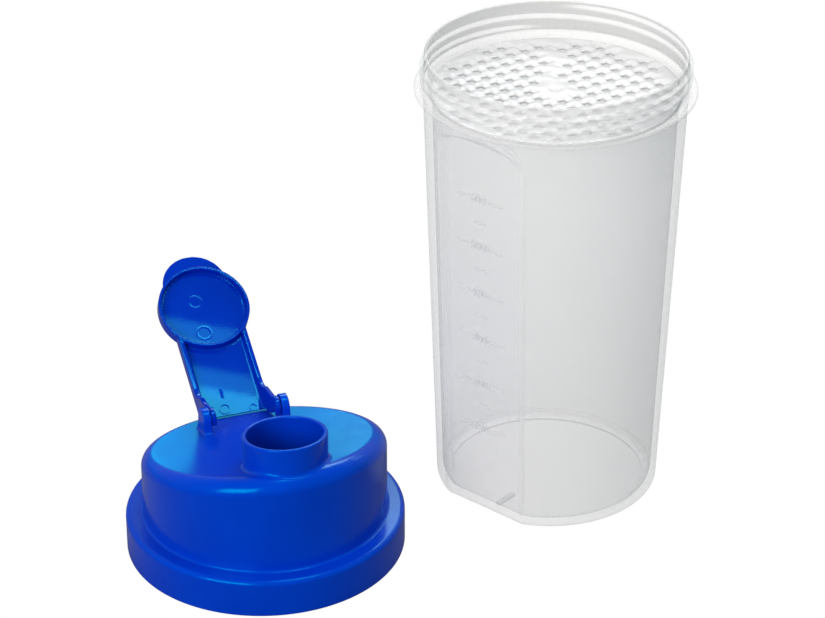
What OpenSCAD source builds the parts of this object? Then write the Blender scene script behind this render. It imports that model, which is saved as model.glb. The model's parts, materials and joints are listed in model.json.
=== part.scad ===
// Protein shaker bottle: a cup with a threaded neck, a lift-out strainer disc,
// a screw lid with a drinking spout, and a flip cap hinged on the lid.
// Millimetres, +Z up, origin at the centre of the cup's base. The lid stands
// beside the cup with its flip cap open.

/* [Cup] */
// Height of the cup from its base to its rim
cup_h = 168; // [150:1:190]
// Radius of the body where the taper meets the base plane
body_base_r = 40; // [38:0.5:42]
// Radius of the body just under the collar
body_top_r = 45.7; // [44.5:0.1:46.5]
// Height of the underside of the collar
collar_z = 154.2; // [140:0.1:156]
// Outer radius of the collar
collar_r = 48.8; // [47.5:0.1:50]
// Thickness of the collar
collar_t = 1.8; // [1.2:0.1:2.4]
// Outer radius of the neck under the thread
neck_r = 45.4; // [45:0.1:46]
// Bore radius of the neck
neck_bore_r = 44.1; // [43.8:0.1:44.4]
// Bore radius of the seat that holds the strainer
seat_bore_r = 43.6; // [43.4:0.1:43.6]
// Height of the ledge that the strainer lies on
seat_z = 153; // [152.6:0.1:153.2]
// Radius of the cavity just below the strainer's ledge
cavity_top_r = 42.6; // [42:0.1:42.8]
// Radius of the cavity at the floor
cavity_base_r = 37.9; // [37:0.1:38.2]
// Thickness of the floor
floor_t = 2; // [1.6:0.1:3]

/* [Thread] */
// Rise of the thread in one turn
pitch = 4; // [3.5:0.1:4.5]
// Turns of thread on the neck
neck_turns = 2; // [1:0.25:2]
// Turns of the ridge inside the lid
lid_turns = 1.25; // [1:0.25:1.25]

/* [Flat panel and scale] */
// Direction that the flat panel faces, from +X
panel_turn = 229.7; // [0:0.1:360]
// Distance from the axis to the panel at the base
panel_d = 36.2; // [35:0.1:38]
// Half the width of the panel below its arch
panel_half_w = 19; // [17:0.5:20]
// Height of the 100 ml mark
first_mark_z = 35.2; // [30:0.1:40]
// Rise between two marks 100 ml apart
mark_step = 18.4; // [17:0.1:19]

/* [Strainer] */
// Outer radius of the strainer
strainer_r = 43.3; // [43.1:0.1:43.4]
// Thickness of the strainer
strainer_t = 1.2; // [1:0.1:2]
// Radius inside which the middles of the holes lie
mesh_r = 39.4; // [36:0.1:39.8]
// Distance between the middles of neighbouring holes
mesh_pitch = 6; // [5.4:0.1:7]
// Side of a square hole
mesh_hole = 2.4; // [2:0.1:3]

/* [Lid] */
// Where the lid stands beside the cup
lid_x = -101.1; // [-120:0.1:-98]
lid_y = -45.3; // [-60:0.1:0]
// Direction from the hinge to the spout
lid_turn = -70; // [-180:1:180]
// Outer radius of the skirt
skirt_r = 49.2; // [49:0.1:50]
// Bore radius of the skirt
skirt_bore_r = 47.4; // [47.2:0.1:47.6]
// Height of the skirt
skirt_h = 14; // [14:0.5:16]
// Outer radius of the drum
drum_r = 43; // [42:0.1:43.2]
// Height of the slanted top over the lid's axis
top_z = 39.9; // [38:0.1:44]
// Slope of the top
top_slope = 14.7; // [10:0.1:16]
// Radius of the round edge between drum and top
top_round = 5; // [3:0.5:6]
// Thickness of the lid's walls
lid_wall = 2; // [1.6:0.1:2.2]
// Distance of the spout from the lid's axis
spout_x = 25; // [24:0.1:26]
// Outer radius of the spout
spout_r = 14.7; // [14:0.1:14.8]
// Bore radius of the spout
spout_bore_r = 13.2; // [12:0.1:13.3]
// Height of the middle of the spout's rim
spout_z = 57.8; // [56:0.1:60]
// Slope of the spout's rim
rim_slope = 7.4; // [4:0.1:9]

/* [Flip cap] */
// Angle that the cap is swung open, from shut on the spout
cap_open = 141; // [0:1:143]
// Outer radius of the cap's disc
cap_r = 16.8; // [16.6:0.1:17.4]
// Inner radius of the cap's wall
cap_bore_r = 15.7; // [15.6:0.1:15.9]
// Depth of the cap's recess
cap_depth = 3.2; // [2.4:0.1:3.6]
// Thickness of the cap's plate
plate_t = 1.4; // [1.2:0.1:1.8]
// Half the width of the arm
arm_half_w = 12.85; // [12:0.05:13]
// Distance of the hinge axis from the lid's axis, on the far side of the spout
hinge_x = -23; // [-24:0.1:-22]
// Height of the hinge axis
hinge_z = 39.2; // [38.8:0.1:40]
// Radius of the hinge journals
journal_r = 1.75; // [1.5:0.05:2]

/* [Hidden] */
$fn = 96;
cut = 0.5;                      // how far a cutter runs past what it cuts
cup_colour = [0.93, 0.94, 0.95, 0.55];
strainer_colour = [0.97, 0.97, 0.98, 0.8];
blue = [0, 0.26, 0.85];
base_round = 3;
foot_depth = 1;
foot_inset = 5;
neck_step_z = collar_z + collar_t;
seat_top_z = seat_z + strainer_t + 0.2;
panel_lean = atan((body_top_r - body_base_r) / collar_z);
panel_top_z = 151;
panel_arch_r = 40;
panel_corner_r = 5;
panel_wall = 2;
mark_proud = 0.3;
mark_h = 0.7;
thread_depth = 1.4;
thread_base_w = 2.4;
thread_tip_w = 0.8;
thread_steps = 24;              // sections in one turn of thread
thread_end_fade = 30;           // degrees over which a thread end dies out
mesh_turn = 31.2;
runner_w = 3;
diamond_half = 6.4;
shoulder_z = skirt_h - lid_wall;
plug_r = neck_bore_r - 0.3;
plug_wall = 1.6;
plug_z = shoulder_z - 5;
ear_gap = 0.3;
ear_t = 2.8;
ear_r = 4;
ear_foot_half = 5.5;
bearing_gap = 0.05;             // radial clearance of a journal in its ear
bearing_depth = 2;
journal_len = 1.9;
cap_gap = 0.3;                  // between the spout's rim and the shut cap
cap_z = spout_z + cap_gap;
tab_x = 11.1;
tab_r = 12;
rail_w = 1.8;
rail_h = 2.6;
boss_r = 3.6;
arm_end = 5.6;                  // how far in front of the hinge the arm's plate ends
arm_end_slant = 1.1;            // how much sooner its upper face ends
leg_bend = 8;                   // how far in front of the hinge the legs start to deepen
leg_back_r = 14;                // round back of a leg, kept off the lid's top when open
hinge_l = (hinge_x - spout_x) * cos(rim_slope) + (hinge_z - cap_z) * sin(rim_slope);
hinge_n = (hinge_z - cap_z) * cos(rim_slope) - (hinge_x - spout_x) * sin(rim_slope);

// Points of a quarter circle of radius r about [x, y], from angle a to b.
function arc(x, y, r, a, b, n = 8) =
    [for (i = [0:n]) let (t = a + (b - a) * i / n) [x + r * cos(t), y + r * sin(t)]];

// A right-hand helical ridge: root at radius root_r, tip at tip_r, first middle at
// height z0, and its ends faded down to the root.
module helix(root_r, tip_r, z0, turns, start) {
    n = round(turns * thread_steps);
    sweep = turns * 360;
    fade = function (a) min(1, a / thread_end_fade, (sweep - a) / thread_end_fade);
    rings = [for (i = [0:n])
        let (a = sweep * i / n, r = root_r + (tip_r - root_r) * max(0.08, fade(a)),
             z = z0 + pitch * a / 360, c = cos(start + a), s = sin(start + a))
        each [[root_r * c, root_r * s, z - thread_base_w / 2], [r * c, r * s, z - thread_tip_w / 2],
              [r * c, r * s, z + thread_tip_w / 2], [root_r * c, root_r * s, z + thread_base_w / 2]]];
    outward = tip_r > root_r;
    sides = [for (i = [0:n - 1], k = [0:3])
        let (a = 4 * i + k, b = 4 * i + (k + 1) % 4)
        outward ? [a, b, b + 4, a + 4] : [a, a + 4, b + 4, b]];
    first = outward ? [3, 2, 1, 0] : [0, 1, 2, 3];
    last = [for (k = [0:3]) 4 * n + (outward ? k : 3 - k)];
    polyhedron(points = rings, faces = concat([first], sides, [last]), convexity = 6);
}

// Everything beyond the flat panel's plane, under its arched top. inset moves the
// plane and the outline towards the axis.
module panel_cutter(inset) {
    w = panel_half_w + inset;
    top = panel_top_z + inset;
    rotate([0, 0, panel_turn])
        translate([panel_d - inset, 0, 0])
            rotate([0, panel_lean, 0])
                rotate([90, 0, 90])
                    linear_extrude(height = 20)
                        difference() {
                            union() {
                                translate([-w, -20])
                                    square([2 * w, top - panel_corner_r + 20]);
                                translate([-w + panel_corner_r, -20])
                                    square([2 * (w - panel_corner_r), top + 20]);
                                for (side = [-1, 1])
                                    translate([side * (w - panel_corner_r), top - panel_corner_r])
                                        circle(r = panel_corner_r);
                            }
                            difference() {
                                translate([-w - cut, top - panel_arch_r])
                                    square([2 * (w + cut), 2 * panel_arch_r]);
                                translate([0, top - panel_arch_r]) circle(r = panel_arch_r);
                            }
                        }
}

// The cup's outside: rounded base edge, tapered body, collar and neck.
module cup_outside() {
    edge_r = body_base_r + (body_top_r - body_base_r) * base_round / collar_z;
    difference() {
        rotate_extrude()
            polygon(concat([[0, 0]], arc(edge_r - base_round, base_round, base_round, -90, 0),
                [[body_top_r, collar_z], [collar_r, collar_z], [collar_r, neck_step_z],
                 [neck_r, neck_step_z], [neck_r, cup_h], [0, cup_h]]));
        panel_cutter(0);
    }
}

// The space inside the cup: the tapered cavity, the ledge and seat that carry the
// strainer, and the neck bore above them.
module cup_cavity() {
    difference() {
        rotate_extrude()
            polygon([[0, floor_t], [cavity_base_r, floor_t], [cavity_top_r, seat_z],
                     [seat_bore_r, seat_z], [seat_bore_r, seat_top_z], [neck_bore_r, seat_top_z],
                     [neck_bore_r, cup_h + cut], [0, cup_h + cut]]);
        panel_cutter(panel_wall);
    }
}

// The shallow recess under the base, which leaves a ring to stand on.
module foot_recess() {
    difference() {
        translate([0, 0, -cut]) cylinder(r = body_base_r - foot_inset, h = foot_depth + cut);
        rotate([0, 0, panel_turn])
            translate([panel_d - foot_inset, -50, -1]) cube([20, 100, 4]);
    }
}

// One raised mark on the flat panel, from y0 to y1 across it at height z.
module mark(y0, y1, z) {
    rotate([0, 0, panel_turn])
        translate([panel_d, 0, 0])
            rotate([0, panel_lean, 0])
                translate([-0.5, y0, z - mark_h / 2]) cube([0.5 + mark_proud, y1 - y0, mark_h]);
}

// The scale: a mark each side of where the number stands every 100 ml, and a short
// one in the middle halfway between.
module scale_marks() {
    for (i = [0:5]) {
        z = first_mark_z + i * mark_step;
        mark(-9.8, -5.4, z);
        mark(3.6, 9.6, z);
        if (i < 5) mark(-2.4, 2.4, z + mark_step / 2);
    }
}

module cup() {
    color(cup_colour) {
        difference() {
            cup_outside();
            cup_cavity();
            foot_recess();
        }
        helix(neck_r - 0.3, neck_r + thread_depth, cup_h - 2.4 - neck_turns * pitch, neck_turns, 90);
        scale_marks();
    }
}

// Middles of the strainer's holes: a turned square lattice inside the perforated
// area, kept off the runner strip and the diamond at the middle.
function hole_sites() = [
    for (i = [-7:7], j = [-7:7])
        let (x = (i + 0.5) * mesh_pitch, y = (j + 0.5) * mesh_pitch,
             px = x * cos(mesh_turn) - y * sin(mesh_turn), py = x * sin(mesh_turn) + y * cos(mesh_turn),
             on_runner = abs(px) < runner_w / 2 + mesh_hole / 2 && py > 0,
             on_diamond = max(abs(x), abs(y)) < diamond_half - mesh_hole / 2)
        if (norm([x, y]) < mesh_r && !on_runner && !on_diamond) [px, py]];

module strainer() {
    color(strainer_colour)
        translate([0, 0, seat_z])
            difference() {
                cylinder(r = strainer_r, h = strainer_t);
                for (p = hole_sites())
                    translate([p[0], p[1], strainer_t / 2])
                        rotate([0, 0, mesh_turn])
                            cube([mesh_hole, mesh_hole, strainer_t + 2 * cut], center = true);
            }
}

// The lid's own place beside the cup, with +X from the hinge to the spout.
module in_lid_place() {
    translate([lid_x, lid_y, 0]) rotate([0, 0, lid_turn]) children();
}

// A drum under the slanted top, round at its top edge, made smaller by inset.
module slanted_drum(inset) {
    r = drum_r + 1.2 - inset;
    edge = top_round - inset;
    intersection() {
        translate([0, 0, shoulder_z - (inset > 0 ? cut : 0)]) cylinder(r = drum_r - inset, h = 60);
        translate([0, 0, top_z - inset])
            rotate([0, -top_slope, 0])
                rotate_extrude()
                    polygon(concat([[0, -60], [r, -60]], arc(r - edge, -edge, edge, 0, 90), [[0, 0]]));
    }
}

// The outline of an ear seen along the hinge: a round head on a foot that widens
// down to the slanted top.
module ear(side) {
    foot_z = top_z + hinge_x * tan(top_slope) - lid_wall / 2;
    inner = side * (arm_half_w + ear_gap);
    translate([0, side > 0 ? inner + ear_t : inner, 0])
        rotate([90, 0, 0])
            linear_extrude(height = ear_t) {
                translate([hinge_x, hinge_z]) circle(r = ear_r);
                polygon([[hinge_x - ear_r, hinge_z], [hinge_x + ear_r, hinge_z],
                         [hinge_x + ear_foot_half, foot_z + ear_foot_half * tan(top_slope)],
                         [hinge_x - ear_foot_half, foot_z - ear_foot_half * tan(top_slope)]]);
            }
}

// The blind bearing in an ear, opening towards the arm.
module ear_bearing(side) {
    translate([hinge_x, side * (arm_half_w + ear_gap - cut), hinge_z])
        rotate([-90 * side, 0, 0]) cylinder(r = journal_r + bearing_gap, h = bearing_depth + cut);
}

// Everything above a plane through [x, 0, z] that slopes up along +X.
module above(x, z, slope) {
    translate([x, 0, z]) rotate([0, -slope, 0]) translate([-60, -60, 0]) cube([120, 120, 60]);
}

module lid() {
    color(blue) in_lid_place() {
        difference() {
            union() {
                rotate_extrude()
                    polygon(concat([[0, 0], [skirt_r - 0.8, 0], [skirt_r, 0.8]],
                        arc(skirt_r - 1.6, skirt_h - 1.6, 1.6, 0, 90), [[0, skirt_h]]));
                slanted_drum(0);
                difference() {
                    translate([spout_x, 0, top_z - lid_wall]) cylinder(r = spout_r, h = 40);
                    above(spout_x, spout_z, rim_slope);
                }
                for (side = [-1, 1]) ear(side);
            }
            translate([0, 0, -cut]) cylinder(r = skirt_bore_r, h = shoulder_z + cut);
            slanted_drum(lid_wall);
            translate([spout_x, 0, shoulder_z]) cylinder(r = spout_bore_r, h = 60);
            for (side = [-1, 1]) ear_bearing(side);
        }
        translate([0, 0, plug_z])
            difference() {
                cylinder(r = plug_r, h = shoulder_z - plug_z + cut);
                translate([0, 0, -cut]) cylinder(r = plug_r - plug_wall, h = shoulder_z);
                translate([0, 0, -cut])
                    cylinder(r = drum_r - lid_wall, h = shoulder_z - plug_z + 3 * cut);
            }
        helix(skirt_bore_r + 0.3, skirt_bore_r - 1.2, 3.4, lid_turns, 0);
    }
}

// Shifts children into the frame of the shut cap: origin at the middle of the disc's
// underside, +X away from the hinge, +Z out of the lid.
module on_cap_plane() {
    translate([spout_x, 0, cap_z]) rotate([0, -rim_slope, 0]) children();
}

// Turns children about the hinge axis by the cap's open angle.
module swung_open() {
    translate([hinge_x, 0, hinge_z])
        rotate([0, -cap_open, 0])
            translate([-hinge_x, 0, -hinge_z]) children();
}

// One side of the arm: a low rail under the plate that deepens into a leg with the
// hinge boss at its foot.
module arm_side(side) {
    wall_mid_r = (cap_r + cap_bore_r) / 2;
    front = -sqrt(wall_mid_r * wall_mid_r - arm_half_w * arm_half_w);
    bend = hinge_l + leg_bend;
    translate([0, side > 0 ? arm_half_w : -arm_half_w + rail_w, 0])
        rotate([90, 0, 0])
            linear_extrude(height = rail_w) {
                polygon(concat(
                    [[front, plate_t], [front, -rail_h], [bend + 9, -rail_h]],
                    arc(bend + 9, -rail_h - 6, 6, 90, 160),
                    [[hinge_l + boss_r, hinge_n], [hinge_l - boss_r, hinge_n]],
                    arc(bend + 5, plate_t - leg_back_r, leg_back_r, 170, 90)));
                translate([hinge_l, hinge_n]) circle(r = boss_r);
            }
}

// The arm's plate from the disc to its slanted end near the hinge.
module arm_plate() {
    plate_end = hinge_l + arm_end;
    translate([0, arm_half_w, 0])
        rotate([90, 0, 0])
            linear_extrude(height = 2 * arm_half_w)
                polygon([[0, 0], [0, plate_t], [plate_end + arm_end_slant, plate_t], [plate_end, 0]]);
}

module flip_cap() {
    color(blue) in_lid_place() swung_open() {
        on_cap_plane() {
            difference() {
                union() {
                    translate([0, 0, -cap_depth]) cylinder(r = cap_r, h = cap_depth + plate_t);
                    translate([tab_x, 0, 0]) cylinder(r = tab_r, h = plate_t);
                    arm_plate();
                    for (side = [-1, 1]) arm_side(side);
                }
                translate([0, 0, -cap_depth - cut]) cylinder(r = cap_bore_r, h = cap_depth + cut);
            }
        }
        for (side = [-1, 1])
            translate([hinge_x, side * (arm_half_w - cut), hinge_z])
                rotate([-90 * side, 0, 0]) cylinder(r = journal_r, h = journal_len + cut);
    }
}

cup();
strainer();
lid();
flip_cap();
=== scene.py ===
"""Protein shaker bottle in moulded plastic: the looks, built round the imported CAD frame.

Shapes are worked out in millimetres, in the same frame as the CAD, and become metres as each mesh is made.
"""
import json
import math

import bmesh
import bpy
import numpy as np
from mathutils import Matrix, Vector
from mathutils.geometry import delaunay_2d_cdt


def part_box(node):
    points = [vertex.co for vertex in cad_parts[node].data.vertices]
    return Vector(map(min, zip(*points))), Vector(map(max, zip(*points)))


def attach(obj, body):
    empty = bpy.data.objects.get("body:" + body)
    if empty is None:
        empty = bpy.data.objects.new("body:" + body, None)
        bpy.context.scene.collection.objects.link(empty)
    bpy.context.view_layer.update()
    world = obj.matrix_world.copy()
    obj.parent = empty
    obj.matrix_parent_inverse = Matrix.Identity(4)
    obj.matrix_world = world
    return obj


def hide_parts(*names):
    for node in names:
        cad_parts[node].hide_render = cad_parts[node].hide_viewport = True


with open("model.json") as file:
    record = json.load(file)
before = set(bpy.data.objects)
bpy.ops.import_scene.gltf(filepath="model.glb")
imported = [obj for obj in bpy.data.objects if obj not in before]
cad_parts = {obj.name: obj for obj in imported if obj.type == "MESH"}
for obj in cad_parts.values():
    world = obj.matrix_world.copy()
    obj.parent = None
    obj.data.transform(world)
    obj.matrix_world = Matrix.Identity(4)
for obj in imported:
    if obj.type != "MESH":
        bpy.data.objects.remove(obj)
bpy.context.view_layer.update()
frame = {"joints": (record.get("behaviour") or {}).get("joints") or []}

MM = 0.001
DEG = math.pi / 180

# Driving sizes from the frame, in millimetres
CUP_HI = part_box("cup")[1] / MM
STRAINER_LO, STRAINER_HI = (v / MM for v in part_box("strainer"))
CAP_HINGE = next(j for j in frame["joints"] if j["name"] == "cap_hinge")

# Cup
CUP_H = CUP_HI.z
COLLAR_Z, COLLAR_TOP = 154.2, 156.0
BASE_R, TOP_R = 40.0, 45.7
COLLAR_R = 48.8
NECK_R, NECK_BORE_R = 45.4, 44.1
SEAT_Z, SEAT_R, SEAT_TOP = STRAINER_LO.z, 43.6, STRAINER_HI.z + 0.2
CAVITY_BASE_R, CAVITY_TOP_R = 37.9, 42.6
FLOOR_T = 2.0
FOOT_DEPTH, FOOT_INSET = 1.0, 5.0
BASE_ROUND = 3.0
PITCH = 4.0
NECK_TURNS = 2
THREAD_DEPTH = 1.4
PANEL_TURN = 229.7 * DEG
PANEL_D = 36.2
PANEL_SLOPE = (TOP_R - BASE_R) / COLLAR_Z
PANEL_TOP, PANEL_ARCH_R, PANEL_CORNER_R, PANEL_HALF_W = 151.0, 40.0, 5.0, 19.0
PANEL_WALL = 2.0
BEAD_PROUD = 0.22
NECK_CLEAR, COLLAR_CLEAR = 0.55, 0.3  # share of the second, milkier alpha on the neck and the collar
FIRST_MARK_Z, MARK_STEP, MARKS = 35.2, 18.4, 6

# Strainer
STRAINER_R = 43.3
MESH_R, MESH_PITCH, MESH_HOLE, MESH_TURN = 39.4, 6.0, 2.4, 31.2 * DEG
RUNNER_W, DIAMOND_HALF, GATE_R = 3.0, 6.4, 2.2

# Lid, in its own frame: origin on its axis at the skirt's foot, +X from the hinge to the spout
LID_TURN = -70 * DEG
SKIRT_R, SKIRT_BORE_R, SKIRT_H = 49.2, 47.4, 14.0
DRUM_R, DRUM_IN_R, LID_WALL = 43.0, 41.0, 2.0
TOP_Z, TOP_SLOPE, TOP_ROUND = 39.9, math.tan(14.7 * DEG), 5.0
SPOUT_X, SPOUT_R, SPOUT_BORE_R, SPOUT_Z, RIM_SLOPE = 25.0, 14.7, 13.2, 57.8, 7.4 * DEG
PLUG_R, PLUG_IN_R, PLUG_Z = 43.8, 42.2, 7.0
LID_TURNS = 1.25
HINGE_X, HINGE_Z = -23.0, 39.2
EAR_IN, EAR_OUT, EAR_R, EAR_FOOT = 13.15, 15.95, 4.0, 5.5

# Flip cap, in the frame of the shut cap: origin under the disc's middle, +X away from the hinge
CAP_OPEN = 141 * DEG
CAP_Z = SPOUT_Z + 0.3
CAP_R, CAP_BORE_R, CAP_DEPTH, PLATE_T = 16.8, 15.7, 3.2, 1.4
TAB_X, TAB_R = 11.1, 12.0
ARM_HALF_W, ARM_END, END_SLANT, RAIL_W, RAIL_H, BOSS_R = 12.85, 5.6, 1.1, 1.8, 2.6, 3.6
LEG_BEND, LEG_BACK_R = 8.0, 14.0
DISH_TILT = 0.0155
JOURNAL_R, JOURNAL_LEN = 1.75, 1.9
PIN_MARKS = [(3.8, -2.1, 2.4), (-9.4, -2.1, 2.6), (-41.4, -3.2, 1.9), (-42.6, 7.3, 1.3)]  # x, y, radius
PIN_MARK_DEPTH, GROOVE_HALF_W = 0.015, 0.3
NICK, NICK_DEPTH = (-34.9, -2.6, 1.8), 0.2  # x, y, half length
HINGE_L = (HINGE_X - SPOUT_X) * math.cos(RIM_SLOPE) + (HINGE_Z - CAP_Z) * math.sin(RIM_SLOPE)
HINGE_N = (HINGE_Z - CAP_Z) * math.cos(RIM_SLOPE) - (HINGE_X - SPOUT_X) * math.sin(RIM_SLOPE)

HINGE_WORLD = Vector(CAP_HINGE["pos_m"]) / MM
LID_PLACE = (
    Matrix.Translation((HINGE_WORLD.x, HINGE_WORLD.y, 0))
    @ Matrix.Rotation(LID_TURN, 4, "Z")
    @ Matrix.Translation((-HINGE_X, 0, 0))
)
CAP_PLACE = (
    LID_PLACE
    @ Matrix.Translation((HINGE_X, 0, HINGE_Z))
    @ Matrix.Rotation(-CAP_OPEN, 4, "Y")
    @ Matrix.Translation((SPOUT_X - HINGE_X, 0, CAP_Z - HINGE_Z))
    @ Matrix.Rotation(-RIM_SLOPE, 4, "Y")
)


# ---------------------------------------------------------------- mesh helpers
def add_piece(name, mesh, body, material, replaces=(), place=None):
    """A finished piece that rides on a CAD body. place is in millimetres."""
    if place is not None:
        shift = place.copy()
        shift.translation = place.translation * MM
        mesh.transform(shift)
    obj = bpy.data.objects.new(name, mesh)
    bpy.context.scene.collection.objects.link(obj)
    mesh.materials.clear()
    mesh.materials.append(material)
    mesh.shade_smooth()
    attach(obj, body)
    if replaces:
        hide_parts(*replaces)
    return obj


def mesh_of(name, verts, faces):
    """A mesh from vertices in millimetres."""
    mesh = bpy.data.meshes.new(name)
    mesh.from_pydata((np.asarray(verts, float) * MM).tolist(), [], faces)
    mesh.update()
    return mesh


def loft(name, rows, poles=None):
    """Quads between rows of points. Columns go once round; rows join up in a ring, or end in two poles."""
    rows = np.asarray(rows, float)
    n, m, _ = rows.shape
    here = np.arange(m)
    after = (here + 1) % m
    faces = []
    for i in range(n if poles is None else n - 1):
        a, b = i * m, (i + 1) % n * m
        faces += np.stack([a + here, a + after, b + after, b + here], 1).tolist()
    verts = rows.reshape(-1, 3)
    if poles is not None:
        verts = np.vstack([verts, poles])
        last = (n - 1) * m
        faces += [[n * m, int(after[k]), k] for k in range(m)]
        faces += [[last + k, last + int(after[k]), n * m + 1] for k in range(m)]
    return mesh_of(name, verts, faces)


def weighted(obj):
    """Keeps flats flat beside their rounded edges."""
    mod = obj.modifiers.new("normals", "WEIGHTED_NORMAL")
    mod.weight = 80


def quarter(cx, cy, r, a, b, n=4):
    """Points of an arc from angle a to b in degrees, both ends included."""
    t = np.radians(np.linspace(a, b, n + 1))
    return [(cx + r * math.cos(k), cy + r * math.sin(k)) for k in t]


def smooth_min(a, b, k):
    h = np.maximum(k - np.abs(a - b), 0) / k
    return np.minimum(a, b) - h * h * k / 4


def smooth_step(x, lo, hi):
    t = np.clip((x - lo) / (hi - lo), 0, 1)
    return t * t * (3 - 2 * t)


def thread_ridge(turn, z, z0, start, turns, depth):
    """Height of a right-hand thread ridge at angle turn and height z, dying out at both ends."""
    total = np.zeros(np.broadcast(turn, z).shape)
    along = (turn - start) % (2 * math.pi)
    for lap in range(int(turns) + 1):
        sweep = along + lap * 2 * math.pi
        off = np.abs(z - z0 - PITCH * sweep / (2 * math.pi))
        fade = np.clip(np.minimum(sweep, turns * 2 * math.pi - sweep) / (30 * DEG), 0, 1)
        total = np.maximum(total, depth * fade * (1 - smooth_step(off, 0.3, 1.25)))
    return total


# ---------------------------------------------------------------- cup
def cup_columns():
    """Angles round the cup, closer together along both edges of the flat panel."""
    edge = 24.5
    fine = np.arange(edge - 2.2, edge + 2.2, 0.22)
    rest = [a for a in np.arange(-180, 180, 1.25) if abs(abs(a) - edge) > 2.3]
    return np.sort(np.concatenate([rest, fine, -fine])) * DEG + PANEL_TURN


def wall_outline(turn, z, base_r, top_r, panel_wall, edge_blend):
    """Radius of the tapered wall, cut by the flat panel under its arched top."""
    cone = base_r + (top_r - base_r) * z / COLLAR_Z + 0 * turn
    off = (turn - PANEL_TURN + math.pi) % (2 * math.pi) - math.pi
    facing = np.abs(off) < 60 * DEG
    d = PANEL_D - panel_wall + z * PANEL_SLOPE
    plane = np.where(facing, d / np.cos(np.where(facing, off, 0)), 1e3)
    flat = smooth_min(cone, plane, edge_blend)
    across = np.abs(np.where(facing, cone * np.sin(off), 0))
    arch = PANEL_TOP + panel_wall - PANEL_ARCH_R
    arch = arch + np.sqrt(np.maximum(PANEL_ARCH_R**2 - across**2, 0))
    corner = np.clip(across - PANEL_HALF_W + PANEL_CORNER_R, 0, PANEL_CORNER_R)
    arch = arch - PANEL_CORNER_R + np.sqrt(PANEL_CORNER_R**2 - corner**2)
    under = 1 - smooth_step(z, arch - 1.5, arch + 0.1)
    return cone + (flat - cone) * under


def panel_bead(turn, z):
    """How near a point of the wall is to the flat panel's outline: 1 on it, 0 away from it."""
    cone = BASE_R + (TOP_R - BASE_R) * z / COLLAR_Z
    off = (turn - PANEL_TURN + math.pi) % (2 * math.pi) - math.pi
    facing = np.abs(off) < 60 * DEG
    across = np.where(facing, cone * np.abs(np.sin(off)), 1e3)
    chord = math.sqrt(cone**2 - (PANEL_D + z * PANEL_SLOPE) ** 2)
    arch = PANEL_TOP - PANEL_ARCH_R + np.sqrt(np.maximum(PANEL_ARCH_R**2 - np.minimum(across, 30) ** 2, 0))
    corner = np.clip(across - chord + PANEL_CORNER_R, 0, PANEL_CORNER_R)
    arch = arch - PANEL_CORNER_R + np.sqrt(PANEL_CORNER_R**2 - corner**2)
    side = np.exp(-(((across - chord) / 0.75) ** 2)) * (z < arch)
    top = np.exp(-(((z - arch) / 0.9) ** 2)) * (across < chord + 0.4)
    return np.maximum(side, top)


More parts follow.
